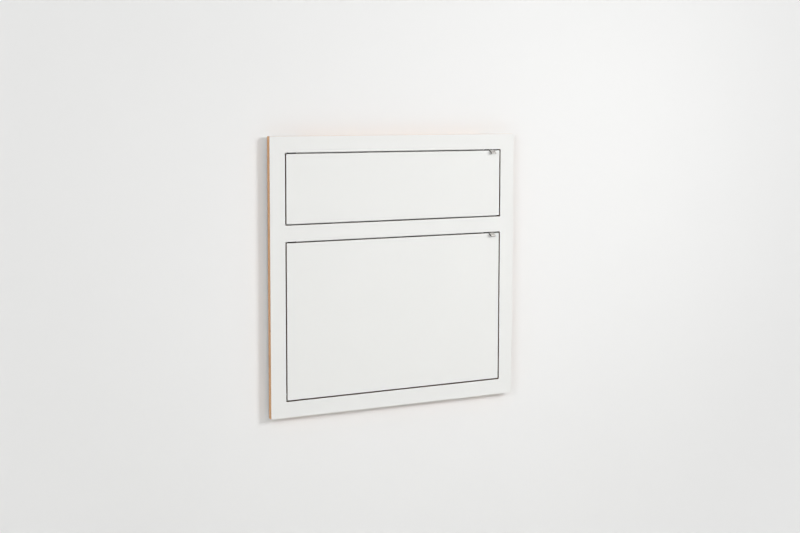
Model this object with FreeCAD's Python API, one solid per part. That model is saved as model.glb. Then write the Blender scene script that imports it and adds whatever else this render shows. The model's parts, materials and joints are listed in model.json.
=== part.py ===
import FreeCAD, Part
import math
import os
from types import SimpleNamespace

# Fold-down wall desk: a flat board that hangs on the wall like a picture. A large flap and a small
# flap are cut out of the board. Each turns on two side pins near its lower edge and folds down to
# the level, so its rear face becomes a desk top or a shelf, held by a sliding stay on each side.
#
# Millimetres. +X is the viewer's right, +Y points into the wall and +Z is up. The wall is the
# plane y = 0 and the origin is the middle of the row of wall screws. "Side" is -1 on the left and
# +1 on the right, and a "reach" is a distance from the middle plane x = 0.

# --- board -----------------------------------------------------------------------------------
PANEL_WIDTH = 800.0
PANEL_HEIGHT = 800.0
CORE_THICKNESS = 16.4           # birch plywood
LAMINATE_THICKNESS = 0.8        # white laminate on both faces
STILE_WIDTH = 46.0
TOP_RAIL_HEIGHT = 46.0
MIDDLE_RAIL_HEIGHT = 46.0
BOTTOM_RAIL_HEIGHT = 46.0
SHELF_FLAP_HEIGHT = 197.0
SWING_GAP = 4.0                 # milled gap round each flap
PANEL_CORNER_RADIUS = 1.0
OPENING_CORNER_RADIUS = 3.0
FLAP_CORNER_RADIUS = 1.5
STANDOFF = 12.0                 # room behind the board for the stays and the cleats

# --- clearances ------------------------------------------------------------------------------
RUNNING_FIT = 0.05              # radial, pin in bush and rivet in arm
SEAT_FIT = 0.05                 # radial, fixed pieces in their holes
SLIDE_FIT = 0.3                 # runner in its rail, stud to arm, runner to end plug
WALL_CLEARANCE = 0.5            # hardware behind the board to the wall
SWING_CLEARANCE = 0.7           # stay hardware to the side of the opening
SAME_PLACE = 0.05               # two points closer than this are one

# --- side hinges -----------------------------------------------------------------------------
HINGE_RISE = 16.0               # hinge axis above the flap's lower edge
PIN_RADIUS = 4.0
PIN_GRIP = 24.0                 # length inside the flap
PIN_ENTRY = 10.0                # length inside the stile
PIN_CHAMFER = 0.6
PIN_GROOVE_DEPTH = 0.5
PIN_GROOVE_MARGIN = 0.4         # groove wider than the set screw, each side
BUSH_RADIUS = 5.5
BUSH_LENGTH = 12.0
BUSH_FLANGE_RADIUS = 7.5
BUSH_FLANGE_THICKNESS = 1.0
SET_SCREW_RADIUS = 2.0
SET_SCREW_INSET = 12.0          # from the flap's side edge
SET_SCREW_RECESS = 0.4
SET_SCREW_TIP_GAP = 0.1
SET_SCREW_SOCKET = 2.0          # across the flats
SET_SCREW_SOCKET_DEPTH = 2.0

# --- sliding stays ---------------------------------------------------------------------------
DESK_STAY_ANGLE = 48.0          # arm from the vertical when the desk flap is level
SHELF_STAY_ANGLE = 60.0
STAY_TOP_MARGIN = 12.0          # stud below the opening's upper edge when the flap is shut
ARM_THICKNESS = 3.0
ARM_WIDTH = 10.0
ARM_LUG_GAP = 0.5
RIVET_RADIUS = 2.5
RIVET_HEAD_RADIUS = 3.5
RIVET_HEAD_HEIGHT = 1.2
RIVET_HEAD_PLAY = 0.1
LUG_THICKNESS = 3.0
LUG_TIP_RADIUS = 5.0
LUG_BASE_THICKNESS = 2.0
LUG_BASE_LENGTH = 28.0          # from the upright towards the middle of the flap
LUG_BASE_HEIGHT = 18.0
LUG_SCREW_PITCH = 12.0
LUG_SCREW_INSET = 8.0           # nearest screw to the upright
RAIL_INSET = 1.0                # rail's slotted face to the side of the opening
RAIL_BREADTH = 12.0
RAIL_WALL = 1.2
RAIL_SLOT = 5.0
RAIL_FLANGE = 13.0
RAIL_SCREW_END = 14.0           # from each end of the rail
RUNNER_LENGTH = 20.0
RUNNER_NOSE_LENGTH = 14.0
RUNNER_NOSE_STAND = 0.4         # past the rail's slotted face
STUD_RADIUS = 2.0
STUD_GRIP = 6.0                 # length inside the runner's block
PLUG_LENGTH = 6.0
PLUG_FIT = 0.1

# --- pull tabs and magnetic catches ----------------------------------------------------------
TAB_FLANGE_THICKNESS = 2.0
TAB_FLANGE_WIDTH = 34.5
TAB_FLANGE_INSET = 0.5          # flange short of the flap's side edge
TAB_FLANGE_DEPTH = 15.0
TAB_TONGUE_THICKNESS = 4.5
TAB_TONGUE_WIDTH = 17.0
TAB_TONGUE_LENGTH = 16.0
TAB_TONGUE_ANGLE = 33.0         # below the level
TAB_TONGUE_CORNER = 2.0
TAB_TONGUE_NOSE = 1.6           # rounding of the tongue's tip
TAB_SCREW_INSET = 5.5
TAB_SCREW_PITCH = 10.0
TAB_SCREW_LENGTH = 16.0
MAGNET_RADIUS = 6.0
MAGNET_DEPTH = 5.0
MAGNET_STAND = 0.5
MAGNET_FACE_RADIUS = 3.0
MAGNET_FACE_GROOVE = 0.8
MAGNET_GROOVE_DEPTH = 1.0

# --- closing stops ---------------------------------------------------------------------------
STOP_ARM_GAP = 13.0             # between a stop and the stay's arm
STOP_WIDTH = 24.0
STOP_THICKNESS = 9.0
STOP_DROP = 12.0                # below the opening's upper edge
STOP_RISE = 24.0                # above it
STOP_FELT_THICKNESS = 1.5
STOP_FELT_GAP = 0.3             # felt to the shut flap
STOP_FELT_MARGIN = 1.5
STOP_SCREW_LOW = 8.0
STOP_SCREW_HIGH = 17.0

# --- wall mounting ---------------------------------------------------------------------------
SCREW_DROP = 36.0               # wall screws below the panel's upper edge
CLEAT_STOP_GAP = 12.0           # between a cleat's end and the shelf's stop
CLEAT_TOP_MARGIN = 4.0          # frame cleat below the panel's upper edge
CLEAT_MEETING_DROP = 18.0       # top of the wall cleat's bevel below the panel's upper edge
WALL_CLEAT_FOOT = 8.0           # wall cleat's lower edge below its screws
CLEAT_SCREW_DROP = 11.0         # frame cleat's screws below the panel's upper edge
CLEAT_SCREW_END = 60.0          # from each end of the frame cleat
CLEAT_SCREW_COUNT = 5
WALL_SCREW_END = 30.0           # from each end of the wall cleat
WALL_SCREW_COUNT = 4
WALL_HOLE_RADIUS = 2.75
WALL_COUNTERSINK_RADIUS = 5.5
SPACER_INSET = 24.0             # from the side of the opening
SPACER_WIDTH = 60.0
SPACER_HEIGHT = 30.0
SPACER_PAD_THICKNESS = 2.0
SPACER_PAD_MARGIN = 2.0
SPACER_CORNER_RADIUS = 3.0

# --- wood screws -----------------------------------------------------------------------------
SCREW_RADIUS = 1.75
SCREW_HEAD_RADIUS = 3.4
PAN_HEAD_HEIGHT = 2.0
SCREW_LENGTH = 14.0
CLEAT_SCREW_LENGTH = 24.0
TAB_SCREW_RADIUS = 1.25
TAB_SCREW_HEAD_RADIUS = 2.6
RECESS_WIDTH = 0.8              # cross recess in a head
RECESS_SPAN = 3.2
RECESS_DEPTH = 1.1
TIP_LENGTH = 3.0

# --- planes worked out from the sizes above --------------------------------------------------
BOARD_THICKNESS = CORE_THICKNESS + 2 * LAMINATE_THICKNESS
BACK_FACE = -STANDOFF
FRONT_FACE = BACK_FACE - BOARD_THICKNESS
CORE_BACK = BACK_FACE - LAMINATE_THICKNESS
CORE_FRONT = FRONT_FACE + LAMINATE_THICKNESS
MID_PLANE = (BACK_FACE + FRONT_FACE) / 2
PANEL_TOP = SCREW_DROP
PANEL_BOTTOM = SCREW_DROP - PANEL_HEIGHT
PANEL_REACH = PANEL_WIDTH / 2
OPENING_REACH = PANEL_REACH - STILE_WIDTH
FLAP_REACH = OPENING_REACH - SWING_GAP
HARDWARE_BACK = -WALL_CLEARANCE
RAIL_DEPTH = HARDWARE_BACK - BACK_FACE
STAY_PLANE = (BACK_FACE + HARDWARE_BACK) / 2
STAY_OFFSET = STAY_PLANE - MID_PLANE
RIVET_OUTER = OPENING_REACH - SWING_CLEARANCE
ARM_OUTER = RIVET_OUTER - RIVET_HEAD_HEIGHT - RIVET_HEAD_PLAY
ARM_INNER = ARM_OUTER - ARM_THICKNESS
LUG_OUTER = ARM_INNER - ARM_LUG_GAP
LUG_INNER = LUG_OUTER - LUG_THICKNESS
RAIL_REACH = OPENING_REACH + RAIL_INSET
TAB_RIGHT = FLAP_REACH - TAB_FLANGE_INSET
TAB_LEFT = TAB_RIGHT - TAB_FLANGE_WIDTH
TONGUE_RIGHT = TAB_LEFT + TAB_TONGUE_WIDTH
MAGNET_REACH = (TONGUE_RIGHT + TAB_RIGHT) / 2
STOP_OUTER = ARM_INNER - STOP_ARM_GAP
STOP_INNER = STOP_OUTER - STOP_WIDTH
STOP_REACH = (STOP_INNER + STOP_OUTER) / 2
CLEAT_REACH = STOP_INNER - CLEAT_STOP_GAP
WALL_SCREW_REACH = CLEAT_REACH - WALL_SCREW_END
SPACER_REACH = OPENING_REACH - SPACER_INSET - SPACER_WIDTH / 2
GROOVE_RADIUS = PIN_RADIUS - PIN_GROOVE_DEPTH

LEFT = -1
RIGHT = 1
SIDES = (LEFT, RIGHT)
SIDE_NAMES = {LEFT: "left", RIGHT: "right"}
TO_FRONT = FreeCAD.Vector(0, -1, 0)
TO_WALL = FreeCAD.Vector(0, 1, 0)
UP = FreeCAD.Vector(0, 0, 1)
DOWN = FreeCAD.Vector(0, 0, -1)


# --- the two openings and their stays --------------------------------------------------------
def stay_lengths(span, angle):
    """Lug distance and arm length so that the arm is upright when shut and at angle when level."""
    slope = math.sin(math.radians(angle))
    lug = (span * slope - STAY_OFFSET) / (1 + slope)
    return lug, span - lug


def make_bay(name, low, high, stay_angle):
    """One opening from low to high with its flap, hinge axis and stays."""
    hinge = low + SWING_GAP + HINGE_RISE
    stud_shut = high - STAY_TOP_MARGIN
    lug, arm = stay_lengths(stud_shut - hinge, stay_angle)
    stud_level = hinge + STAY_OFFSET + arm * math.cos(math.radians(stay_angle))
    rail_overrun = RUNNER_LENGTH / 2 + SLIDE_FIT + PLUG_LENGTH
    return SimpleNamespace(
        name=name,
        low=low,
        high=high,
        flap_low=low + SWING_GAP,
        flap_high=high - SWING_GAP,
        hinge=hinge,
        stay_angle=stay_angle,
        lug=hinge + lug,
        arm_length=arm,
        stud_shut=stud_shut,
        stud_level=stud_level,
        rail_low=stud_level - rail_overrun,
        rail_high=stud_shut + rail_overrun,
    )


SHELF_HIGH = PANEL_TOP - TOP_RAIL_HEIGHT
SHELF_LOW = SHELF_HIGH - SHELF_FLAP_HEIGHT - 2 * SWING_GAP
SHELF = make_bay("shelf", SHELF_LOW, SHELF_HIGH, SHELF_STAY_ANGLE)
DESK_HIGH = SHELF_LOW - MIDDLE_RAIL_HEIGHT
DESK_LOW = PANEL_BOTTOM + BOTTOM_RAIL_HEIGHT
DESK = make_bay("desk", DESK_LOW, DESK_HIGH, DESK_STAY_ANGLE)
BAYS = (DESK, SHELF)


# --- shape helpers ---------------------------------------------------------------------------
def vector(x, y, z):
    return FreeCAD.Vector(x, y, z)


def box(x_range, y_range, z_range):
    """Box between three pairs of planes, given in any order."""
    low = [min(pair) for pair in (x_range, y_range, z_range)]
    high = [max(pair) for pair in (x_range, y_range, z_range)]
    size = [top - bottom for bottom, top in zip(low, high)]
    return Part.makeBox(*size, vector(*low))


def side_box(side, inner, outer, y_range, z_range):
    """Box between two reaches on one side."""
    return box((side * inner, side * outer), y_range, z_range)


def cylinder(start, direction, length, radius):
    return Part.makeCylinder(radius, length, start, direction)


def side_rod(side, inner, outer, y, z, radius):
    """Cylinder along X between two reaches on one side."""
    return cylinder(vector(side * inner, y, z), vector(side, 0, 0), outer - inner, radius)


def prism(points, sweep):
    """Straight-edged outline swept along a vector."""
    face = Part.Face(Part.makePolygon(points + points[:1]))
    return face.extrude(sweep)


def rounded_plate(x_range, y_range, z_range, radius):
    """Plate facing Y with its four corners rounded."""
    plate = box(x_range, y_range, z_range)
    corners = [edge for edge in plate.Edges if is_along_y(edge)]
    return plate.makeFillet(radius, corners)


def is_along_y(edge):
    start, end = [corner.Point for corner in edge.Vertexes]
    return abs((end - start).normalize().y) > 0.5


def turned(profile, origin, direction):
    """Solid turned about direction from (radius, distance) points, both ends on the axis."""
    points = [vector(radius, 0, distance) for radius, distance in profile]
    face = Part.Face(Part.makePolygon(points + points[:1]))
    solid = face.revolve(vector(0, 0, 0), UP, 360)
    solid.Placement = FreeCAD.Placement(origin, FreeCAD.Rotation(UP, direction))
    return solid


def cut_all(shape, tools):
    return shape.cut(Part.Compound(tools)) if tools else shape


def group(shapes):
    return Part.Compound(shapes)


# --- wood screws -----------------------------------------------------------------------------
def cross_recess(head_face, direction):
    """Two crossed slots cut down from a screw head's outer face."""
    half = RECESS_SPAN / 2
    slot = box((-half, half), (-RECESS_WIDTH / 2, RECESS_WIDTH / 2), (0, RECESS_DEPTH))
    other = slot.copy()
    other.rotate(vector(0, 0, 0), UP, 90)
    recess = slot.fuse(other)
    recess.Placement = FreeCAD.Placement(head_face, FreeCAD.Rotation(UP, direction))
    return recess


def countersunk_screw(head_face, direction, length, shank, head):
    """Screw whose flat head face lies at head_face and whose tip points along direction."""
    cone = head - shank
    profile = [(0, 0), (head, 0), (shank, cone), (shank, length - TIP_LENGTH), (0, length)]
    return turned(profile, head_face, direction).cut(cross_recess(head_face, direction))


def countersunk_hole(head_face, direction, length, shank, head):
    """The same outline, larger by the seat fit, as a cutting tool."""
    shank = shank + SEAT_FIT
    head = head + SEAT_FIT
    cone = head - shank
    end = length + SEAT_FIT
    above = head_face - direction * SEAT_FIT
    profile = [(0, 0), (head, 0), (head, SEAT_FIT), (shank, cone + SEAT_FIT), (shank, end), (0, end)]
    return turned(profile, above, direction)


def pan_screw(under_head, direction, length):
    """Screw with a raised head that sits on the plane through under_head."""
    rim = SCREW_HEAD_RADIUS - PAN_HEAD_HEIGHT / 2
    profile = [
        (0, -PAN_HEAD_HEIGHT),
        (rim, -PAN_HEAD_HEIGHT),
        (SCREW_HEAD_RADIUS, -PAN_HEAD_HEIGHT / 2),
        (SCREW_HEAD_RADIUS, 0),
        (SCREW_RADIUS, 0),
        (SCREW_RADIUS, length - TIP_LENGTH),
        (0, length),
    ]
    crown = under_head - direction * PAN_HEAD_HEIGHT
    return turned(profile, under_head, direction).cut(cross_recess(crown, direction))


def pan_hole(under_head, direction, length):
    return cylinder(under_head, direction, length + SEAT_FIT, SCREW_RADIUS + SEAT_FIT)


# --- where the fasteners go ------------------------------------------------------------------
def lug_screw_points(bay, side):
    """Head faces of the two screws of one stay lug."""
    reaches = [LUG_INNER - LUG_SCREW_INSET - LUG_SCREW_PITCH * i for i in range(2)]
    return [vector(side * reach, BACK_FACE + LUG_BASE_THICKNESS, bay.lug) for reach in reaches]


def rail_screw_points(bay, side):
    """Under-head points of one rail's screws, on its flange."""
    reach = RAIL_REACH + RAIL_BREADTH + RAIL_FLANGE / 2
    low = bay.rail_low + RAIL_SCREW_END
    high = bay.rail_high - RAIL_SCREW_END
    return [vector(side * reach, BACK_FACE + RAIL_WALL, z) for z in (low, (low + high) / 2, high)]


def stop_screw_points(bay, side):
    """Under-head points of one closing stop's screws."""
    heights = (bay.high + STOP_SCREW_LOW, bay.high + STOP_SCREW_HIGH)
    return [vector(side * STOP_REACH, BACK_FACE + STOP_THICKNESS - PAN_HEAD_HEIGHT, z) for z in heights]


def tab_screw_points(bay):
    """Head faces of one pull tab's screws, in the flap's upper edge."""
    height = bay.flap_high + TAB_FLANGE_THICKNESS
    first = TAB_LEFT + TAB_SCREW_INSET
    return [vector(first + TAB_SCREW_PITCH * i, MID_PLANE, height) for i in range(2)]


def spread(reach, count):
    """Evenly spaced places from -reach to +reach."""
    pitch = 2 * reach / (count - 1)
    return [pitch * i - reach for i in range(count)]


def cleat_screw_points():
    """Head faces of the frame cleat's screws, on its rear face."""
    height = PANEL_TOP - CLEAT_SCREW_DROP
    places = spread(CLEAT_REACH - CLEAT_SCREW_END, CLEAT_SCREW_COUNT)
    return [vector(x, HARDWARE_BACK, height) for x in places]


def spacer_screw_points():
    """Head faces of the wall spacers' screws, under the pads."""
    height = PANEL_BOTTOM + BOTTOM_RAIL_HEIGHT / 2
    return [vector(side * SPACER_REACH, -SPACER_PAD_THICKNESS, height) for side in SIDES]


def small_countersunk(points, direction, make, length=SCREW_LENGTH):
    return [make(p, direction, length, SCREW_RADIUS, SCREW_HEAD_RADIUS) for p in points]


def tab_fasteners(bay, make):
    sizes = (TAB_SCREW_LENGTH, TAB_SCREW_RADIUS, TAB_SCREW_HEAD_RADIUS)
    return [make(point, DOWN, *sizes) for point in tab_screw_points(bay)]


# --- frame board -----------------------------------------------------------------------------
def frame_plate(y_range):
    """One layer of the frame with both openings."""
    reach = (-PANEL_REACH, PANEL_REACH)
    plate = rounded_plate(reach, y_range, (PANEL_BOTTOM, PANEL_TOP), PANEL_CORNER_RADIUS)
    opening = (-OPENING_REACH, OPENING_REACH)
    tools = [rounded_plate(opening, y_range, (bay.low, bay.high), OPENING_CORNER_RADIUS) for bay in BAYS]
    return cut_all(plate, tools)


def frame_back_holes():
    """Screw holes that go through the rear laminate into the core."""
    tools = small_countersunk(cleat_screw_points(), TO_FRONT, countersunk_hole, CLEAT_SCREW_LENGTH)
    tools += small_countersunk(spacer_screw_points(), TO_FRONT, countersunk_hole, CLEAT_SCREW_LENGTH)
    for bay in BAYS:
        for side in SIDES:
            for point in rail_screw_points(bay, side):
                tools.append(pan_hole(point, TO_FRONT, SCREW_LENGTH))
            for point in stop_screw_points(bay, side):
                tools.append(pan_hole(point, TO_FRONT, CLEAT_SCREW_LENGTH - PAN_HEAD_HEIGHT))
    return tools


def bush_seat(bay, side):
    """Bore in the stile for one hinge bush."""
    outer = OPENING_REACH + BUSH_LENGTH + SEAT_FIT
    return side_rod(side, OPENING_REACH, outer, MID_PLANE, bay.hinge, BUSH_RADIUS + SEAT_FIT)


def magnet_seat(bay):
    """Pocket in the rail above the flap for the catch magnet."""
    depth = MAGNET_DEPTH - MAGNET_STAND + SEAT_FIT
    return cylinder(vector(MAGNET_REACH, MID_PLANE, bay.high), UP, depth, MAGNET_RADIUS + SEAT_FIT)


def frame_core():
    tools = frame_back_holes()
    for bay in BAYS:
        tools.append(magnet_seat(bay))
        for side in SIDES:
            tools.append(bush_seat(bay, side))
    return cut_all(frame_plate((CORE_FRONT, CORE_BACK)), tools)


def frame_front_laminate():
    return frame_plate((FRONT_FACE, CORE_FRONT))


def frame_back_laminate():
    return cut_all(frame_plate((CORE_BACK, BACK_FACE)), frame_back_holes())


# --- flap boards -----------------------------------------------------------------------------
def flap_plate(bay, y_range):
    reach = (-FLAP_REACH, FLAP_REACH)
    return rounded_plate(reach, y_range, (bay.flap_low, bay.flap_high), FLAP_CORNER_RADIUS)


def flap_inner_holes(bay):
    """Holes through the flap's rear laminate for the lug screws and the set screws."""
    tools = []
    for side in SIDES:
        points = lug_screw_points(bay, side)
        tools += small_countersunk(points, TO_FRONT, countersunk_hole)
        tools.append(set_screw_hole(bay, side))
    return tools


def flap_core(bay):
    tools = flap_inner_holes(bay) + tab_fasteners(bay, countersunk_hole)
    for side in SIDES:
        inner = FLAP_REACH - PIN_GRIP - SEAT_FIT
        tools.append(side_rod(side, inner, FLAP_REACH, MID_PLANE, bay.hinge, PIN_RADIUS + SEAT_FIT))
    return cut_all(flap_plate(bay, (CORE_FRONT, CORE_BACK)), tools)


def flap_front_laminate(bay):
    return flap_plate(bay, (FRONT_FACE, CORE_FRONT))


def flap_inner_laminate(bay):
    return cut_all(flap_plate(bay, (CORE_BACK, BACK_FACE)), flap_inner_holes(bay))


# --- hinges ----------------------------------------------------------------------------------
def hinge_pin(bay, side):
    """Round pin with a groove for its set screw, half in the flap and half in the stile."""
    length = PIN_GRIP + SWING_GAP + PIN_ENTRY
    groove = PIN_GRIP - SET_SCREW_INSET
    half_groove = SET_SCREW_RADIUS + PIN_GROOVE_MARGIN
    profile = [
        (0, 0),
        (PIN_RADIUS - PIN_CHAMFER, 0),
        (PIN_RADIUS, PIN_CHAMFER),
        (PIN_RADIUS, groove - half_groove),
        (GROOVE_RADIUS, groove - half_groove),
        (GROOVE_RADIUS, groove + half_groove),
        (PIN_RADIUS, groove + half_groove),
        (PIN_RADIUS, length - PIN_CHAMFER),
        (PIN_RADIUS - PIN_CHAMFER, length),
        (0, length),
    ]
    start = vector(side * (FLAP_REACH - PIN_GRIP), MID_PLANE, bay.hinge)
    return turned(profile, start, vector(side, 0, 0))


def hinge_bush(bay, side):
    """Flanged nylon bush pressed into the stile's inner edge."""
    barrel_end = OPENING_REACH + BUSH_LENGTH
    flange_face = OPENING_REACH - BUSH_FLANGE_THICKNESS
    barrel = side_rod(side, OPENING_REACH, barrel_end, MID_PLANE, bay.hinge, BUSH_RADIUS)
    flange = side_rod(side, flange_face, OPENING_REACH, MID_PLANE, bay.hinge, BUSH_FLANGE_RADIUS)
    bore = side_rod(side, flange_face, barrel_end, MID_PLANE, bay.hinge, PIN_RADIUS + RUNNING_FIT)
    return barrel.fuse(flange).cut(bore)


def set_screw_hole(bay, side):
    depth = BACK_FACE - MID_PLANE - GROOVE_RADIUS
    mouth = vector(side * (FLAP_REACH - SET_SCREW_INSET), BACK_FACE, bay.hinge)
    return cylinder(mouth, TO_FRONT, depth, SET_SCREW_RADIUS + SEAT_FIT)


def set_screw(bay, side):
    """Headless screw that locks one hinge pin, driven from the flap's rear face."""
    face = BACK_FACE - SET_SCREW_RECESS
    length = face - MID_PLANE - GROOVE_RADIUS - SET_SCREW_TIP_GAP
    top = vector(side * (FLAP_REACH - SET_SCREW_INSET), face, bay.hinge)
    return cylinder(top, TO_FRONT, length, SET_SCREW_RADIUS).cut(hex_socket(top))


def hex_socket(top):
    """Six-sided socket sunk from top towards the front."""
    corner = SET_SCREW_SOCKET / math.sqrt(3)
    turns = [math.radians(60 * i) for i in range(6)]
    points = [top + vector(corner * math.cos(a), 0, corner * math.sin(a)) for a in turns]
    return prism(points, TO_FRONT * SET_SCREW_SOCKET_DEPTH)


# --- sliding stays ---------------------------------------------------------------------------
def stay_arm(bay, side):
    """Flat bar with round ends, pinned to the flap's lug and to the runner's stud."""
    half = ARM_WIDTH / 2
    span = (STAY_PLANE - half, STAY_PLANE + half)
    bar = side_box(side, ARM_INNER, ARM_OUTER, span, (bay.lug, bay.stud_shut))
    for height in (bay.lug, bay.stud_shut):
        bar = bar.fuse(side_rod(side, ARM_INNER, ARM_OUTER, STAY_PLANE, height, half))
    pivot = side_rod(side, ARM_INNER, ARM_OUTER, STAY_PLANE, bay.lug, RIVET_RADIUS + RUNNING_FIT)
    eye = side_rod(side, ARM_INNER, ARM_OUTER, STAY_PLANE, bay.stud_shut, STUD_RADIUS + RUNNING_FIT)
    return bar.removeSplitter().cut(pivot).cut(eye)


def stay_lug(bay, side):
    """Angle bracket on the flap's rear face that carries the arm's lower pivot."""
    base_top = BACK_FACE + LUG_BASE_THICKNESS
    half = LUG_BASE_HEIGHT / 2
    base_heights = (bay.lug - half, bay.lug + half)
    base = side_box(side, LUG_INNER - LUG_BASE_LENGTH, LUG_OUTER, (BACK_FACE, base_top), base_heights)
    web_heights = (bay.lug - LUG_TIP_RADIUS, bay.lug + LUG_TIP_RADIUS)
    web = side_box(side, LUG_INNER, LUG_OUTER, (BACK_FACE, STAY_PLANE), web_heights)
    tip = side_rod(side, LUG_INNER, LUG_OUTER, STAY_PLANE, bay.lug, LUG_TIP_RADIUS)
    bracket = base.fuse(web).fuse(tip).removeSplitter()
    hole = side_rod(side, LUG_INNER, LUG_OUTER, STAY_PLANE, bay.lug, RIVET_RADIUS + SEAT_FIT)
    screw_holes = small_countersunk(lug_screw_points(bay, side), TO_FRONT, countersunk_hole)
    return cut_all(bracket, [hole] + screw_holes)


def stay_rivet(bay, side):
    """Rivet through lug and arm, with a head on each side."""
    tail_face = LUG_INNER - RIVET_HEAD_HEIGHT
    grip = ARM_OUTER + RIVET_HEAD_PLAY
    shank = side_rod(side, LUG_INNER, grip, STAY_PLANE, bay.lug, RIVET_RADIUS)
    tail = side_rod(side, tail_face, LUG_INNER, STAY_PLANE, bay.lug, RIVET_HEAD_RADIUS)
    head = side_rod(side, grip, RIVET_OUTER, STAY_PLANE, bay.lug, RIVET_HEAD_RADIUS)
    return shank.fuse(tail).fuse(head)


def stay_rail(bay, side):
    """Slotted channel with a screw flange, on the stile's rear face."""
    breadth = RAIL_BREADTH
    wall = RAIL_WALL
    lip = (RAIL_DEPTH - RAIL_SLOT) / 2
    outline = [
        (0, 0),
        (breadth + RAIL_FLANGE, 0),
        (breadth + RAIL_FLANGE, wall),
        (breadth, wall),
        (breadth, RAIL_DEPTH),
        (0, RAIL_DEPTH),
        (0, RAIL_DEPTH - lip),
        (wall, RAIL_DEPTH - lip),
        (wall, RAIL_DEPTH - wall),
        (breadth - wall, RAIL_DEPTH - wall),
        (breadth - wall, wall),
        (wall, wall),
        (wall, lip),
        (0, lip),
    ]
    points = [vector(side * (RAIL_REACH + u), BACK_FACE + v, bay.rail_low) for u, v in outline]
    rail = prism(points, UP * (bay.rail_high - bay.rail_low))
    holes = [pan_hole(point, TO_FRONT, SCREW_LENGTH) for point in rail_screw_points(bay, side)]
    return cut_all(rail, holes)


def channel_block(side, play, z_range):
    """Block that fills the rail's channel but for the play on each side."""
    inner = RAIL_REACH + RAIL_WALL + play
    outer = RAIL_REACH + RAIL_BREADTH - RAIL_WALL - play
    depth = (BACK_FACE + RAIL_WALL + play, HARDWARE_BACK - RAIL_WALL - play)
    return side_box(side, inner, outer, depth, z_range)


def stay_runner(bay, side):
    """Sliding block with a nose in the rail's slot and a bore for its stud."""
    half = RUNNER_LENGTH / 2
    block = channel_block(side, SLIDE_FIT, (bay.stud_shut - half, bay.stud_shut + half))
    block_face = RAIL_REACH + RAIL_WALL + SLIDE_FIT
    nose_half = RUNNER_NOSE_LENGTH / 2
    slot_half = RAIL_SLOT / 2 - SLIDE_FIT
    nose_face = RAIL_REACH - RUNNER_NOSE_STAND
    nose_depth = (STAY_PLANE - slot_half, STAY_PLANE + slot_half)
    nose_heights = (bay.stud_shut - nose_half, bay.stud_shut + nose_half)
    nose = side_box(side, nose_face, block_face, nose_depth, nose_heights)
    outer = block_face + STUD_GRIP + SEAT_FIT
    bore = side_rod(side, nose_face, outer, STAY_PLANE, bay.stud_shut, STUD_RADIUS + SEAT_FIT)
    return block.fuse(nose).cut(bore)


def runner_stud(bay, side):
    """Steel stud from the runner's block to the arm's eye."""
    outer = RAIL_REACH + RAIL_WALL + SLIDE_FIT + STUD_GRIP
    return side_rod(side, ARM_OUTER + SLIDE_FIT, outer, STAY_PLANE, bay.stud_shut, STUD_RADIUS)


def rail_plugs(bay, side):
    """Plugs that close the rail's ends and stop the runner at level and shut."""
    low = (bay.rail_low, bay.rail_low + PLUG_LENGTH)
    high = (bay.rail_high - PLUG_LENGTH, bay.rail_high)
    return [channel_block(side, PLUG_FIT, span) for span in (low, high)]


# --- pull tabs and catches -------------------------------------------------------------------
def tab_outline(bay):
    """Section of a pull tab: flange on the flap's upper edge, tongue hooked over its front face."""
    slope = math.radians(TAB_TONGUE_ANGLE)
    top = bay.flap_high + TAB_FLANGE_THICKNESS
    along = vector(0, -math.cos(slope), -math.sin(slope))
    across = vector(0, math.sin(slope), -math.cos(slope))
    bend = vector(0, FRONT_FACE, top)
    tip = bend + along * TAB_TONGUE_LENGTH
    return [
        vector(0, FRONT_FACE + TAB_FLANGE_DEPTH, bay.flap_high),
        vector(0, FRONT_FACE + TAB_FLANGE_DEPTH, top),
        bend,
        tip,
        tip + across * TAB_TONGUE_THICKNESS,
        bend - UP * (TAB_TONGUE_THICKNESS / math.cos(slope)),
        vector(0, FRONT_FACE, bay.flap_high),
    ]


def pull_tab(bay):
    """Cast steel tab: a flange on the flap's upper edge and a tongue sloping out of the gap."""
    outline = tab_outline(bay)
    tip, under_tip = outline[3:5]
    tab = prism([point + vector(TAB_LEFT, 0, 0) for point in outline], vector(TAB_FLANGE_WIDTH, 0, 0))
    spare = box((TONGUE_RIGHT, TAB_RIGHT), (FRONT_FACE, tip.y), (under_tip.z, outline[1].z))
    tab = tab.cut(spare)
    tab = tab.makeFillet(TAB_TONGUE_CORNER, edges_near(tab, (tip + under_tip) / 2, TAB_TONGUE_THICKNESS))
    nose = edges_near(tab, tip) + edges_near(tab, under_tip)
    tab = tab.makeFillet(TAB_TONGUE_NOSE, nose)
    return cut_all(tab, tab_fasteners(bay, countersunk_hole))


def edges_near(shape, place, length=None):
    """Edges whose middle has the depth and height of place, of one length or of any."""
    found = []
    for edge in shape.Edges:
        middle = edge.CenterOfMass
        near = math.hypot(middle.y - place.y, middle.z - place.z) < SAME_PLACE
        if near and (length is None or abs(edge.Length - length) < SAME_PLACE):
            found.append(edge)
    return found


def catch_magnet(bay):
    """Pot magnet with a ring groove in its face, pressed into the rail's underside."""
    face = vector(MAGNET_REACH, MID_PLANE, bay.high - MAGNET_STAND)
    pot = cylinder(face, UP, MAGNET_DEPTH, MAGNET_RADIUS)
    ring = cylinder(face, UP, MAGNET_GROOVE_DEPTH, MAGNET_FACE_RADIUS + MAGNET_FACE_GROOVE)
    island = cylinder(face, UP, MAGNET_GROOVE_DEPTH, MAGNET_FACE_RADIUS)
    return pot.cut(ring.cut(island))


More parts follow.
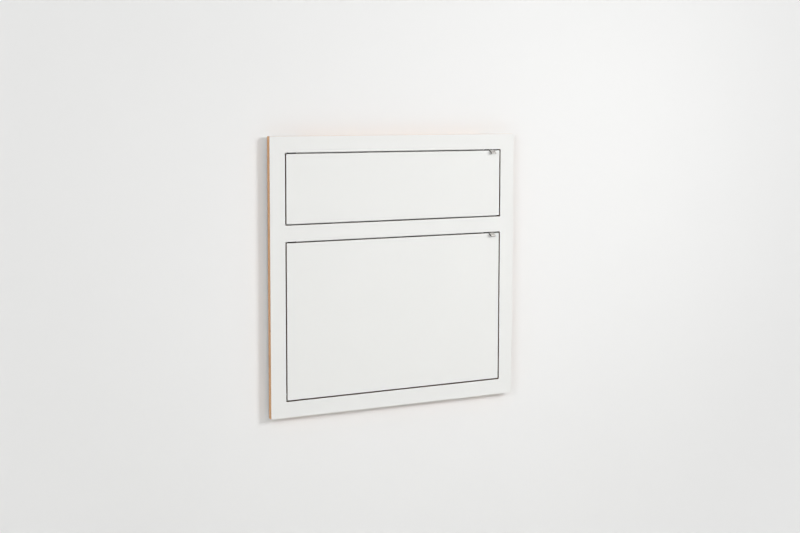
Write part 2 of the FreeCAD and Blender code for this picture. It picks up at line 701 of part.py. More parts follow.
# --- closing stops ---------------------------------------------------------------------------
def closing_stop(bay, side):
    """Moulded block on the rail's rear face with a stepped ledge behind the flap's upper edge."""
    rear = BACK_FACE + STOP_THICKNESS
    body = side_box(side, STOP_INNER, STOP_OUTER, (BACK_FACE, rear), (bay.high, bay.high + STOP_RISE))
    seat = BACK_FACE + STOP_FELT_GAP + STOP_FELT_THICKNESS
    ledge = side_box(side, STOP_INNER, STOP_OUTER, (seat, rear), (bay.high - STOP_DROP, bay.high))
    block = body.fuse(ledge).removeSplitter()
    tools = []
    for point in stop_screw_points(bay, side):
        tools.append(pan_hole(point, TO_FRONT, CLEAT_SCREW_LENGTH))
        tools.append(cylinder(point, TO_WALL, PAN_HEAD_HEIGHT, SCREW_HEAD_RADIUS + SEAT_FIT))
    return cut_all(block, tools)


def stop_felt(bay, side):
    seat = BACK_FACE + STOP_FELT_GAP + STOP_FELT_THICKNESS
    heights = (bay.high - STOP_DROP + STOP_FELT_MARGIN, bay.high - STOP_FELT_MARGIN)
    reaches = (STOP_INNER + STOP_FELT_MARGIN, STOP_OUTER - STOP_FELT_MARGIN)
    return side_box(side, *reaches, (seat - STOP_FELT_THICKNESS, seat), heights)


# --- wall mounting ---------------------------------------------------------------------------
def cleat_bevel(y):
    """Height of the 45-degree meeting plane of the two cleats at depth y."""
    wall_cleat_front = BACK_FACE + WALL_CLEARANCE
    return PANEL_TOP - CLEAT_MEETING_DROP - (y - wall_cleat_front)


def cleat_bar(section):
    """Bar along X from a list of (y, z) corners."""
    points = [vector(-CLEAT_REACH, y, z) for y, z in section]
    return prism(points, vector(2 * CLEAT_REACH, 0, 0))


def frame_cleat():
    """Upper half of the cleat, screwed to the frame, hooking behind the wall half."""
    top = PANEL_TOP - CLEAT_TOP_MARGIN
    section = [
        (BACK_FACE, top),
        (BACK_FACE, cleat_bevel(BACK_FACE)),
        (HARDWARE_BACK, cleat_bevel(HARDWARE_BACK)),
        (HARDWARE_BACK, top),
    ]
    holes = small_countersunk(cleat_screw_points(), TO_FRONT, countersunk_hole, CLEAT_SCREW_LENGTH)
    return cut_all(cleat_bar(section), holes)


def wall_cleat():
    """Lower half of the cleat, screwed flat to the wall through countersunk holes."""
    front = BACK_FACE + WALL_CLEARANCE
    section = [
        (0, -WALL_CLEAT_FOOT),
        (front, -WALL_CLEAT_FOOT),
        (front, cleat_bevel(front)),
        (0, cleat_bevel(0)),
    ]
    depth = WALL_COUNTERSINK_RADIUS - WALL_HOLE_RADIUS
    profile = [
        (0, 0),
        (WALL_COUNTERSINK_RADIUS, 0),
        (WALL_HOLE_RADIUS, depth),
        (WALL_HOLE_RADIUS, -front),
        (0, -front),
    ]
    places = spread(WALL_SCREW_REACH, WALL_SCREW_COUNT)
    return cut_all(cleat_bar(section), [turned(profile, vector(x, front, 0), TO_WALL) for x in places])


def spacer_outline(side, margin):
    centre = side * SPACER_REACH
    middle = PANEL_BOTTOM + BOTTOM_RAIL_HEIGHT / 2
    half_width = SPACER_WIDTH / 2 - margin
    half_height = SPACER_HEIGHT / 2 - margin
    return (centre - half_width, centre + half_width), (middle - half_height, middle + half_height)


def wall_spacer(side):
    """Block that keeps the board's lower edge as far from the wall as the cleat does."""
    reaches, heights = spacer_outline(side, 0)
    depth = (BACK_FACE, -SPACER_PAD_THICKNESS)
    block = rounded_plate(reaches, depth, heights, SPACER_CORNER_RADIUS)
    holes = small_countersunk(spacer_screw_points(), TO_FRONT, countersunk_hole, CLEAT_SCREW_LENGTH)
    return cut_all(block, holes)


def spacer_pad(side):
    reaches, heights = spacer_outline(side, SPACER_PAD_MARGIN)
    return rounded_plate(reaches, (-SPACER_PAD_THICKNESS, 0), heights, SPACER_CORNER_RADIUS)


# --- nodes -----------------------------------------------------------------------------------
def both_sides(make, bay):
    return group([make(bay, side) for side in SIDES])


def frame_nodes():
    """Pieces that stay with the frame and the wall, apart from the stays' rails."""
    places = [(bay, side) for bay in BAYS for side in SIDES]
    stop_screws = []
    for bay, side in places:
        for point in stop_screw_points(bay, side):
            stop_screws.append(pan_screw(point, TO_FRONT, CLEAT_SCREW_LENGTH - PAN_HEAD_HEIGHT))
    return {
        "frame_core": frame_core(),
        "frame_front_laminate": frame_front_laminate(),
        "frame_back_laminate": frame_back_laminate(),
        "hinge_bushes": group([hinge_bush(bay, side) for bay, side in places]),
        "catch_magnets": group([catch_magnet(bay) for bay in BAYS]),
        "closing_stops": group([closing_stop(bay, side) for bay, side in places]),
        "closing_stop_felts": group([stop_felt(bay, side) for bay, side in places]),
        "closing_stop_screws": group(stop_screws),
        "frame_cleat": frame_cleat(),
        "frame_cleat_screws": group(
            small_countersunk(cleat_screw_points(), TO_FRONT, countersunk_screw, CLEAT_SCREW_LENGTH)
        ),
        "wall_cleat": wall_cleat(),
        "wall_spacers": group([wall_spacer(side) for side in SIDES]),
        "wall_spacer_pads": group([spacer_pad(side) for side in SIDES]),
        "wall_spacer_screws": group(
            small_countersunk(spacer_screw_points(), TO_FRONT, countersunk_screw, CLEAT_SCREW_LENGTH)
        ),
    }


def flap_nodes(bay):
    """Pieces that swing with one flap."""
    lug_screws = []
    for side in SIDES:
        lug_screws += small_countersunk(lug_screw_points(bay, side), TO_FRONT, countersunk_screw)
    nodes = {
        "flap_core": flap_core(bay),
        "flap_front_laminate": flap_front_laminate(bay),
        "flap_inner_laminate": flap_inner_laminate(bay),
        "hinge_pins": both_sides(hinge_pin, bay),
        "hinge_set_screws": both_sides(set_screw, bay),
        "stay_lug_left": stay_lug(bay, LEFT),
        "stay_lug_right": stay_lug(bay, RIGHT),
        "stay_lug_screws": group(lug_screws),
        "stay_rivets": both_sides(stay_rivet, bay),
        "pull_tab": pull_tab(bay),
        "pull_tab_screws": group(tab_fasteners(bay, countersunk_screw)),
    }
    return {bay.name + "_" + name: shape for name, shape in nodes.items()}


def stay_nodes(bay, side):
    """One sliding stay: arm, runner with its stud, rail, plugs and screws."""
    screws = [pan_screw(point, TO_FRONT, SCREW_LENGTH) for point in rail_screw_points(bay, side)]
    nodes = {
        "stay_arm": stay_arm(bay, side),
        "stay_runner": stay_runner(bay, side),
        "stay_runner_stud": runner_stud(bay, side),
        "stay_rail": stay_rail(bay, side),
    }
    named = {bay.name + "_" + name + "_" + SIDE_NAMES[side]: shape for name, shape in nodes.items()}
    return named, rail_plugs(bay, side), screws


def all_nodes():
    nodes = frame_nodes()
    plugs = []
    screws = []
    for bay in BAYS:
        nodes.update(flap_nodes(bay))
        for side in SIDES:
            named, more_plugs, more_screws = stay_nodes(bay, side)
            nodes.update(named)
            plugs += more_plugs
            screws += more_screws
    nodes["stay_rail_plugs"] = group(plugs)
    nodes["stay_rail_screws"] = group(screws)
    return nodes


def main():
    os.makedirs("parts", exist_ok=True)
    for name, shape in all_nodes().items():
        shape.exportStep("parts/" + name + ".step")


main()
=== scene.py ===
import json
import math

import bmesh
import bpy
from mathutils import Matrix, Vector, noise

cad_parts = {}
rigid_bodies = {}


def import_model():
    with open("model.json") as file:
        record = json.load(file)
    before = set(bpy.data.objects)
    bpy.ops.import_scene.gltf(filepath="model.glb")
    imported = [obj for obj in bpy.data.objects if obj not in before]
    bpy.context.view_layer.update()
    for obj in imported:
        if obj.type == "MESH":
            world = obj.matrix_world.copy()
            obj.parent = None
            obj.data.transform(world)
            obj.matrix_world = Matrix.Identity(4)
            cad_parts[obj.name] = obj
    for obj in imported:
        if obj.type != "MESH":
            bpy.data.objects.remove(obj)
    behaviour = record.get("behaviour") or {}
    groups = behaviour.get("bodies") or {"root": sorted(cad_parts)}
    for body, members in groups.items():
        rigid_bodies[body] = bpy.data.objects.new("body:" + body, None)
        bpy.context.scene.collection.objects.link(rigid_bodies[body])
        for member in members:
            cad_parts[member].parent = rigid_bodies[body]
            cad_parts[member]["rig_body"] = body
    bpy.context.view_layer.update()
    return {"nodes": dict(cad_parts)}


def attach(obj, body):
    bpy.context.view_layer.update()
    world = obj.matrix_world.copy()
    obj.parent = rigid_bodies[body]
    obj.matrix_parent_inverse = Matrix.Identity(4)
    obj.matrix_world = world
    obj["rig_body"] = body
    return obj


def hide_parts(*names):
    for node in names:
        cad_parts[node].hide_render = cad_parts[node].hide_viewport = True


# Looks, light and camera for the fold-down wall desk. Everything is in metres in the CAD's own
# frame: +X is the viewer's right, +Y points into the wall, +Z is up and the wall is y = 0.

MM = 0.001
MID_PLANE = -21.0 * MM          # middle of the board's thickness
DECOR_DEPTH = 8.8 * MM          # past this distance from the middle, a laminate is its white layer
BOARD_FRONT = -30.0 * MM
CORE_FRONT = -29.2 * MM
PLY = 16.4 * MM / 11            # eleven plies in the board's core
DESK_MIDDLE = (0.0, 0.0, -0.36)
SAME = 0.001 * MM               # points closer than this are one
RIVET_SHANK_RADIUS = 2.5 * MM
RIVET_HEAD_HEIGHT = 1.2 * MM

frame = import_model()
nodes = frame["nodes"]


# --- materials -------------------------------------------------------------------------------
class Look:
    """One material in the making: its Principled shader and the nodes that feed it.

    Textures use the object's own coordinates, which are the row frame at rest, so they stay on a
    piece when its body moves."""

    def __init__(self, name, roughness, metallic=0.0, **fixed):
        self.material = bpy.data.materials.new(name)
        self.material.use_nodes = True
        self.tree = self.material.node_tree
        self.shader = self.tree.nodes["Principled BSDF"]
        self.shader.inputs["Roughness"].default_value = roughness
        self.shader.inputs["Metallic"].default_value = metallic
        for socket, value in fixed.items():
            self.shader.inputs[socket.replace("_", " ")].default_value = value
        coordinates = self.node("ShaderNodeTexCoord")
        self.place = coordinates.outputs["Object"]
        self.facing = coordinates.outputs["Normal"]

    def node(self, kind, inputs=None, **settings):
        made = self.tree.nodes.new(kind)
        for name, value in settings.items():
            setattr(made, name, value)
        for socket, value in (inputs or {}).items():
            self.feed(made.inputs[socket], value)
        return made

    def feed(self, socket, value):
        if isinstance(value, bpy.types.NodeSocket):
            self.tree.links.new(value, socket)
        else:
            socket.default_value = value

    def calc(self, operation, *values):
        made = self.node("ShaderNodeMath", dict(enumerate(values)), operation=operation)
        return made.outputs[0]

    def average(self, first, second):
        return self.calc("MULTIPLY", self.calc("ADD", first, second), 0.5)

    def axes(self, vector):
        made = self.node("ShaderNodeSeparateXYZ", {0: vector})
        return [made.outputs[i] for i in range(3)]

    def stretched(self, per_metre):
        """Object coordinates times a scale on each axis."""
        made = self.node("ShaderNodeVectorMath", {0: self.place, 1: per_metre}, operation="MULTIPLY")
        return made.outputs[0]

    def noise(self, per_metre, detail=3.0, roughness=0.55):
        """Noise from 0 to 1. per_metre is one scale, or one for each axis."""
        scale = per_metre if isinstance(per_metre, tuple) else (per_metre,) * 3
        inputs = {"Vector": self.stretched(scale), "Scale": 1.0, "Detail": detail, "Roughness": roughness}
        return self.node("ShaderNodeTexNoise", inputs).outputs[0]

    def cells(self, per_metre):
        """A random colour for each of many small cells."""
        inputs = {"Vector": self.stretched((per_metre,) * 3), "Scale": 1.0}
        return self.node("ShaderNodeTexVoronoi", inputs).outputs["Color"]

    def ramp(self, value, low, high):
        """0 below low and 1 above high, with a smooth step between."""
        inputs = {"Value": value, "From Min": low, "From Max": high}
        made = self.node("ShaderNodeMapRange", inputs, interpolation_type="SMOOTHSTEP")
        return made.outputs[0]

    def between(self, value, low, high):
        """A value of 0 to 1, spread from low to high."""
        made = self.node("ShaderNodeMapRange", {"Value": value, "To Min": low, "To Max": high})
        return made.outputs[0]

    def within(self, value, low, high):
        """1 between low and high, and 0 elsewhere."""
        above = self.calc("GREATER_THAN", value, low)
        return self.calc("MULTIPLY", above, self.calc("LESS_THAN", value, high))

    def mix(self, share, first, second):
        """The first colour at a share of 0 and the second at a share of 1."""
        made = self.node(
            "ShaderNodeMix",
            {"Factor": share, 6: rgba(first), 7: rgba(second)},
            data_type="RGBA",
        )
        return made.outputs[2]

    def color(self, value):
        self.feed(self.shader.inputs["Base Color"], value)
        return self

    def gloss(self, value, low, high):
        self.feed(self.shader.inputs["Roughness"], self.between(value, low, high))
        return self

    def relief(self, height, depth, strength):
        """Bump from a height of 0 to 1 that stands for depth metres."""
        inputs = {"Height": height, "Distance": depth, "Strength": strength}
        bump = self.node("ShaderNodeBump", inputs)
        self.feed(self.shader.inputs["Normal"], bump.outputs[0])
        return self


def rgba(color):
    return color if isinstance(color, bpy.types.NodeSocket) else (*color, 1.0)


def white_laminate():
    """Matt high-pressure laminate: white decor on a thin brown core that shows at its cut edge."""
    look = Look("white_laminate", 0.7, Specular_IOR_Level=0.32)
    facing_y = look.calc("ABSOLUTE", look.axes(look.facing)[1])
    from_middle = look.calc("ABSOLUTE", look.calc("SUBTRACT", look.axes(look.place)[1], MID_PLANE))
    decor = look.calc("GREATER_THAN", from_middle, DECOR_DEPTH)
    white_share = look.calc("MAXIMUM", look.ramp(facing_y, 0.5, 0.6), decor)
    white = look.mix(look.noise(5.0, 4.0), (0.828, 0.830, 0.812), (0.844, 0.846, 0.828))
    speckled = look.mix(look.ramp(look.noise(900.0, 1.0), 0.62, 0.72), white, (0.820, 0.820, 0.805))
    kraft = look.mix(look.noise((300.0, 9000.0, 300.0)), (0.052, 0.023, 0.011), (0.12, 0.056, 0.029))
    look.color(look.mix(white_share, kraft, speckled))
    look.gloss(look.noise(14.0, 5.0), 0.64, 0.76)
    return look.relief(look.noise(1400.0, 2.0), 0.02 * MM, 0.35)


# Box, in millimetres, that holds every cut edge of the flaps and openings, but not the panel's rim. The
# plywood paints shade on these edges.
INSIDE_THE_RIM = ((-380.0, 380.0), (-30.0, -12.1), (-740.0, 12.0))
KNOT_PLACE = (-400.0, -24.5, -511.0)
KNOT_REACH = (9.0, 2.0, 3.6)


def birch_plywood():
    """Lacquered birch plywood. Its plies are stacked along Y, and run along X and Z in turn."""
    look = Look("birch_plywood", 0.42, Specular_IOR_Level=0.5)
    x, y, z = look.axes(look.place)
    facing = [look.calc("ABSOLUTE", axis) for axis in look.axes(look.facing)]
    wander = look.between(look.noise((18.0, 40.0, 18.0), 2.0), -0.16, 0.16)
    depth = look.calc("ADD", look.calc("DIVIDE", look.calc("SUBTRACT", y, CORE_FRONT), PLY), wander)
    parity = look.calc("PINGPONG", look.calc("FLOOR", depth), 1.0)
    in_ply = look.calc("FRACT", depth)
    to_glue = look.calc("ABSOLUTE", look.calc("SUBTRACT", in_ply, 0.5))
    glue = look.ramp(to_glue, 0.43, 0.49)

    along_x = look.mix(look.noise((9.0, 900.0, 260.0), 4.0), (0.76, 0.395, 0.180), (0.92, 0.52, 0.265))
    along_z = look.mix(look.noise((260.0, 900.0, 9.0), 4.0), (0.76, 0.395, 0.180), (0.92, 0.52, 0.265))
    pores = look.ramp(look.noise((2600.0, 2600.0, 2600.0), 3.0), 0.42, 0.62)
    end_grain = look.mix(pores, (0.52, 0.255, 0.110), (0.76, 0.41, 0.195))

    # A ply shows end grain on the faces that cut across its fibres.
    face_x = look.ramp(facing[0], 0.55, 0.8)
    face_z = look.ramp(facing[2], 0.55, 0.8)
    x_ply = look.mix(face_x, along_x, end_grain)
    z_ply = look.mix(face_z, along_z, end_grain)
    wood = look.mix(parity, z_ply, x_ply)
    edge = look.calc("MAXIMUM", face_x, face_z)
    glue_share = look.calc("MULTIPLY", look.calc("MULTIPLY", glue, edge), 0.55)
    glued = look.mix(glue_share, wood, (0.24, 0.125, 0.06))

    # One small knot shows in the left edge.
    steps = []
    for axis, centre, reach in zip((x, y, z), KNOT_PLACE, KNOT_REACH):
        step = look.calc("DIVIDE", look.calc("SUBTRACT", axis, centre * MM), reach * MM)
        steps.append(look.calc("POWER", step, 2.0))
    distance = look.calc("ADD", look.calc("ADD", steps[0], steps[1]), steps[2])
    knot_share = look.ramp(distance, 1.3, 0.5)
    lacquered = look.mix(knot_share, glued, (0.30, 0.115, 0.040))

    # Painted shade: the cut edges inside the gaps between the flaps and the frame get a dark brown colour
    # that stands in for the shade in the gaps.
    cut = edge
    for axis, (low, high) in zip((x, y, z), INSIDE_THE_RIM):
        cut = look.calc("MULTIPLY", cut, look.within(axis, low * MM, high * MM))
    gap_edge_shade = look.mix(look.noise((160.0, 700.0, 160.0), 4.0), (0.065, 0.027, 0.012), (0.17, 0.076, 0.036))
    look.color(look.mix(look.calc("MULTIPLY", cut, 0.94), lacquered, gap_edge_shade))
    look.gloss(look.noise(700.0, 3.0), 0.34, 0.52)
    grooves = look.calc("SUBTRACT", look.noise((900.0, 900.0, 900.0), 3.0), glue_share)
    return look.relief(grooves, 0.05 * MM, 0.5)


def steel(name, color, roughness, along=(1.0, 1.0, 1.0), depth=0.01):
    """Metal with a fine directional finish. along divides the grain's scale on each axis."""
    look = Look(name, sum(roughness) / 2, metallic=1.0)
    scale = tuple(2400.0 / part for part in along)
    grain = look.noise(scale, 3.0)
    stain = look.noise(60.0, 4.0)
    light = tuple(min(1.0, part * 1.12) for part in color)
    dark = tuple(part * 0.86 for part in color)
    uneven = look.average(grain, stain)
    look.color(look.mix(uneven, dark, light))
    look.gloss(uneven, *roughness)
    return look.relief(grain, depth * MM, 0.6)


def tab_steel():
    """Blasted steel, bright on the tongue, with painted shade in a near-black colour on its cut sides and
    where it sits in the gap.
    """
    look = Look("pull_tab_steel", 0.5, metallic=0.6)
    grain = look.noise(2600.0, 3.0)
    uneven = look.average(grain, look.noise(170.0, 4.0))
    bright = look.mix(uneven, (0.47, 0.455, 0.43), (0.70, 0.68, 0.65))
    # Painted shade: a near-black colour on the tab's cut sides and on the part in the gap stands in for the
    # shade there.
    dark = look.mix(grain, (0.040, 0.037, 0.035), (0.085, 0.080, 0.075))
    tab_gap_shade = look.ramp(look.axes(look.place)[1], BOARD_FRONT - 0.7 * MM, BOARD_FRONT + 0.1 * MM)
    tab_side_shade = look.ramp(look.calc("ABSOLUTE", look.axes(look.facing)[0]), 0.45, 0.75)
    look.color(look.mix(look.calc("MAXIMUM", tab_gap_shade, tab_side_shade), bright, dark))
    look.gloss(uneven, 0.40, 0.62)
    return look.relief(grain, 0.02 * MM, 0.6)


def galvanised_steel():
    """Zinc-dipped sheet with pale spangles."""
    look = Look("galvanised_steel", 0.42, metallic=1.0)
    tone = look.axes(look.cells(150.0))[0]
    spangled = look.mix(tone, (0.50, 0.52, 0.54), (0.70, 0.71, 0.72))
    look.color(look.mix(look.noise(420.0), spangled, (0.62, 0.64, 0.66)))
    look.gloss(tone, 0.32, 0.55)
    return look.relief(look.noise(1500.0), 0.01 * MM, 0.5)


def moulded(name, dark, light, roughness, grain=3200.0, depth=0.02):
    """Moulded plastic or rubber with a fine spark-eroded surface."""
    look = Look(name, sum(roughness) / 2, Specular_IOR_Level=0.5)
    look.color(look.mix(look.noise(90.0, 5.0), dark, light))
    look.gloss(look.noise(300.0, 3.0), *roughness)
    return look.relief(look.noise(grain, 2.0), depth * MM, 0.6)


def felt():
    """Pressed wool felt with loose pale fibres."""
    look = Look("felt", 0.95, Sheen_Weight=0.35, Sheen_Roughness=0.5, Specular_IOR_Level=0.2)
    fibres = look.noise((5200.0, 5200.0, 1400.0), 4.0, 0.7)
    matted = look.mix(look.noise(420.0, 4.0), (0.045, 0.045, 0.050), (0.085, 0.085, 0.092))
    look.color(look.mix(look.ramp(fibres, 0.55, 0.75), matted, (0.19, 0.19, 0.20)))
    return look.relief(fibres, 0.2 * MM, 0.8)


PALE = (0.84, 0.84, 0.835)
GLOW_RISE = 1.6                 # metres over which the glow grows to its full share


def one_sided(name, first, second, grain, depth, glow, clear_of=0.0):
    """Matt painted stage surface that shows only from its front.

    The camera sees a plain pale tone mixed into it, which keeps it from going dark where the
    lamps end. glow is that tone's full share, and it is zero up to clear_of metres from the
    desk's middle."""
    look = Look(name, 0.9, Specular_IOR_Level=0.15)
    look.color(look.mix(look.noise(1.6, 4.0), first, second))
    look.relief(look.noise(grain, 3.0), depth * MM, 0.25)
    pale = look.node("ShaderNodeEmission", {"Color": rgba(PALE)})
    middle = look.node("ShaderNodeVectorMath", {0: look.place, 1: DESK_MIDDLE}, operation="DISTANCE")
    away = look.ramp(middle.outputs["Value"], clear_of, clear_of + GLOW_RISE)
    seen = look.calc("MULTIPLY", look.node("ShaderNodeLightPath").outputs["Is Camera Ray"], away)
    share = look.calc("MULTIPLY", seen, glow)
    front = look.node("ShaderNodeMixShader", {0: share, 1: look.shader.outputs[0], 2: pale.outputs[0]})
    clear = look.node("ShaderNodeBsdfTransparent")
    side = look.node("ShaderNodeNewGeometry").outputs["Backfacing"]
    both = look.node("ShaderNodeMixShader", {0: side, 1: front.outputs[0], 2: clear.outputs[0]})
    look.feed(look.tree.nodes["Material Output"].inputs["Surface"], both.outputs[0])
    return look


MATERIALS = {
    "white_laminate": white_laminate(),
    "birch_plywood": birch_plywood(),
    "pull_tab_steel": tab_steel(),
    "stay_steel": steel("stay_steel", (0.60, 0.59, 0.57), (0.22, 0.42), along=(1, 1, 30)),
    "galvanised_steel": galvanised_steel(),
    "hardened_steel": steel("hardened_steel", (0.36, 0.36, 0.37), (0.22, 0.36), along=(1, 20, 20)),
    "zinc_screw": steel("zinc_screw", (0.66, 0.65, 0.60), (0.22, 0.36)),
    "nickel_plate": steel("nickel_plate", (0.72, 0.70, 0.66), (0.12, 0.24), depth=0.004),
    "black_nylon": moulded("black_nylon", (0.020, 0.020, 0.021), (0.034, 0.034, 0.035), (0.42, 0.58)),
    "white_acetal": moulded("white_acetal", (0.76, 0.76, 0.74), (0.82, 0.82, 0.80), (0.28, 0.40)),
    "felt": felt(),
    "rubber_pad": moulded(
        "rubber_pad", (0.030, 0.030, 0.030), (0.055, 0.054, 0.052), (0.70, 0.86), 1600.0, 0.05
    ),
}


# --- which material each node has, and how far its edges are rounded ----------------------------
BAYS = ("desk", "shelf")
SIDES = ("left", "right")
LAMINATES = ["frame_front_laminate", "frame_back_laminate"]
LAMINATES += [f"{bay}_flap_{face}_laminate" for bay in BAYS for face in ("front", "inner")]


def of_bays(*names):
    return [f"{bay}_{name}" for bay in BAYS for name in names]


def of_sides(*names):
    return [f"{name}_{side}" for name in of_bays(*names) for side in SIDES]


PLAIN = {
    "birch_plywood": ["frame_core"] + of_bays("flap_core"),
    "hardened_steel": of_bays("hinge_pins", "hinge_set_screws"),
    "zinc_screw": of_bays("stay_lug_screws", "pull_tab_screws")
    + ["closing_stop_screws", "frame_cleat_screws", "wall_spacer_screws", "stay_rail_screws"],
    "stay_steel": of_sides("stay_runner_stud"),
}
EASED = {
    "birch_plywood": {"frame_cleat": 0.6, "wall_cleat": 0.6, "wall_spacers": 0.8},
    "white_laminate": {name: 0.2 for name in LAMINATES},
    "pull_tab_steel": {name: 0.3 for name in of_bays("pull_tab")},
    "stay_steel": {name: 0.4 for name in of_sides("stay_arm", "stay_lug")},
    "galvanised_steel": {name: 0.3 for name in of_sides("stay_rail")},
    "nickel_plate": {"catch_magnets": 0.2},
    "black_nylon": {"hinge_bushes": 0.2, "closing_stops": 0.7, "stay_rail_plugs": 0.3},
    "white_acetal": {name: 0.3 for name in of_sides("stay_runner")},
}


# --- pieces ----------------------------------------------------------------------------------
def new_piece(name, mesh, slot, *stands_for):
    """Object that rides with the nodes it stands for and has their material."""
    piece = bpy.data.objects.new(name, mesh)
    bpy.context.scene.collection.objects.link(piece)
    mesh.materials.clear()
    mesh.materials.append(MATERIALS[slot].material)
    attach(piece, nodes[stands_for[0]]["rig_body"])
    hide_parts(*stands_for)
    return piece


def smooth(piece, angle=35.0):
    piece.data.shade_smooth()
    piece.data.set_sharp_from_angle(angle=math.radians(angle))
    weighted = piece.modifiers.new("even_shading", "WEIGHTED_NORMAL")
    weighted.keep_sharp = True


def is_sharp(edge):
    return len(edge.link_faces) == 2 and edge.calc_face_angle(0.0) > math.radians(32.0)


def on_outer_face(edge):
    """True for an edge on the board's front or back face."""
    half = MID_PLANE - BOARD_FRONT
    return all(abs(abs(v.co.y - MID_PLANE) - half) < 10 * SAME for v in edge.verts)


def eased(node, width, slot):
    """Copy of a CAD node with its sharp edges rounded."""
    shape = bmesh.new()
    shape.from_mesh(nodes[node].data)
    bmesh.ops.remove_doubles(shape, verts=shape.verts, dist=SAME)
    bmesh.ops.dissolve_limit(shape, angle_limit=math.radians(0.5), verts=shape.verts, edges=shape.edges)
    edges = [edge for edge in shape.edges if is_sharp(edge)]
    if node in LAMINATES:
        edges = [edge for edge in edges if on_outer_face(edge)]
    bmesh.ops.bevel(
        shape, geom=edges, offset=width * MM, segments=2, profile=0.5, affect="EDGES", clamp_overlap=True
    )
    mesh = bpy.data.meshes.new(node + "_eased")
    shape.to_mesh(mesh)
    shape.free()
    piece = new_piece(node + "_eased", mesh, slot, node)
    smooth(piece)
    return piece


def solids(node):
    """Lowest and highest corners of each separate solid of a CAD node."""
    shape = bmesh.new()
    shape.from_mesh(nodes[node].data)
    bmesh.ops.remove_doubles(shape, verts=shape.verts, dist=SAME)
    found, seen = [], set()
    for start in shape.verts:
        if start in seen:
            continue
        group, waiting = [], [start]
        seen.add(start)
        while waiting:
            vert = waiting.pop()
            group.append(vert.co.copy())
            for edge in vert.link_edges:
                other = edge.other_vert(vert)
                if other not in seen:
                    seen.add(other)
                    waiting.append(other)
        low = Vector([min(co[i] for co in group) for i in range(3)])
        high = Vector([max(co[i] for co in group) for i in range(3)])
        found.append((low, high))
    shape.free()
    return found


def in_order(shape):
    """Sorts a mesh by place: spin and bisect_plane leave an order that varies from run to run."""
    place = {vert: i for i, vert in enumerate(sorted(shape.verts, key=lambda vert: vert.co[:]))}
    shape.verts.sort(key=place.get)
    for parts in (shape.edges, shape.faces):
        by_corners = sorted(parts, key=lambda part: sorted(place[vert] for vert in part.verts))
        rank = {part: i for i, part in enumerate(by_corners)}
        parts.sort(key=rank.get)


def soft_pads(name, node, slot, corner, edge, rough, cell):
    """Thin pads with rounded corners and edges and an uneven surface, one for each solid.

    corner is the outline's radius, edge the rounding of the rim, rough how deep the surface varies
    and cell the size of its dents, in millimetres. A pad stays inside the solid it stands for."""
    corner, edge, rough, cell = (length * MM for length in (corner, edge, rough, cell))
    shape = bmesh.new()
    for low, high in solids(node):
        size = high - low
        centre = (low + high) / 2
        pad = bmesh.new()
        placed = Matrix.Translation(centre) @ Matrix.Diagonal((*size, 1.0))
        bmesh.ops.create_cube(pad, size=1.0, matrix=placed)
        upright = [e for e in pad.edges if abs(e.verts[0].co.y - e.verts[1].co.y) > size.y / 2]
        bmesh.ops.bevel(pad, geom=upright, offset=corner, segments=5, profile=0.5, affect="EDGES")
        rim = [e for e in pad.edges if is_sharp(e)]
        bmesh.ops.bevel(pad, geom=rim, offset=edge, segments=3, profile=0.5, affect="EDGES")
        cuts = [(axis, low[axis] + cell * i) for axis in (0, 2) for i in range(1, int(size[axis] / cell) + 1)]
        for axis, at in cuts:
            normal = Vector((axis == 0, 0, axis == 2))
            geometry = pad.verts[:] + pad.edges[:] + pad.faces[:]
            bmesh.ops.bisect_plane(pad, geom=geometry, plane_co=normal * at, plane_no=normal)
        pad.normal_update()
        for vert in pad.verts:
            dent = 0.5 + 0.5 * noise.noise(vert.co / cell * 0.8)
            vert.co -= vert.normal * rough * dent
        part = bpy.data.meshes.new("pad")
        pad.to_mesh(part)
        pad.free()
        shape.from_mesh(part)
        bpy.data.meshes.remove(part)
    in_order(shape)
    mesh = bpy.data.meshes.new(name)
    shape.to_mesh(mesh)
    shape.free()
    piece = new_piece(name, mesh, slot, node)
    smooth(piece, 60.0)
    return piece


def domed_rivets(bay):
    """The two rivets of a flap's stays, with domed heads in place of the flat ones."""
    node = bay + "_stay_rivets"
    shape = bmesh.new()
    for low, high in solids(node):
        radius = (high.z - low.z) / 2
        under = (low.x + RIVET_HEAD_HEIGHT, high.x - RIVET_HEAD_HEIGHT)
        turns = (0.0, 0.35, 0.7, 1.05, 1.35)
        dome = [(radius * math.cos(turn), RIVET_HEAD_HEIGHT * math.sin(turn)) for turn in turns]
        left = [(0.0, low.x)] + [(r, under[0] - rise) for r, rise in reversed(dome)]
        right = [(r, under[1] + rise) for r, rise in dome] + [(0.0, high.x)]
        profile = left + [(RIVET_SHANK_RADIUS, x) for x in under] + right
        centre = (low + high) / 2
        verts = [shape.verts.new((x, centre.y, centre.z + r)) for r, x in profile]
        edges = [shape.edges.new(pair) for pair in zip(verts, verts[1:])]
        bmesh.ops.spin(
            shape, geom=verts + edges, cent=centre, axis=(1, 0, 0), angle=math.tau, steps=40, use_merge=True
        )
    bmesh.ops.remove_doubles(shape, verts=shape.verts, dist=SAME)
    bmesh.ops.recalc_face_normals(shape, faces=shape.faces)
    in_order(shape)
    mesh = bpy.data.meshes.new(node + "_domed")
    shape.to_mesh(mesh)
    shape.free()
    smooth(new_piece(node + "_domed", mesh, "stay_steel", node))


def dress_model():
    for slot, names in PLAIN.items():
        for name in names:
            holder = nodes[name]
            if not holder.material_slots:
                holder.data.materials.append(None)
            for material_slot in holder.material_slots:
                material_slot.material = MATERIALS[slot].material
    for slot, widths in EASED.items():
        for name, width in widths.items():
            eased(name, width, slot)
    for bay in BAYS:
        domed_rivets(bay)
    felts = soft_pads("stop_felt_pads", "closing_stop_felts", "felt", 1.2, 0.45, 0.12, 1.0)
    rubbers = soft_pads("spacer_rubber_pads", "wall_spacer_pads", "rubber_pad", 3.0, 0.5, 0.03, 3.0)


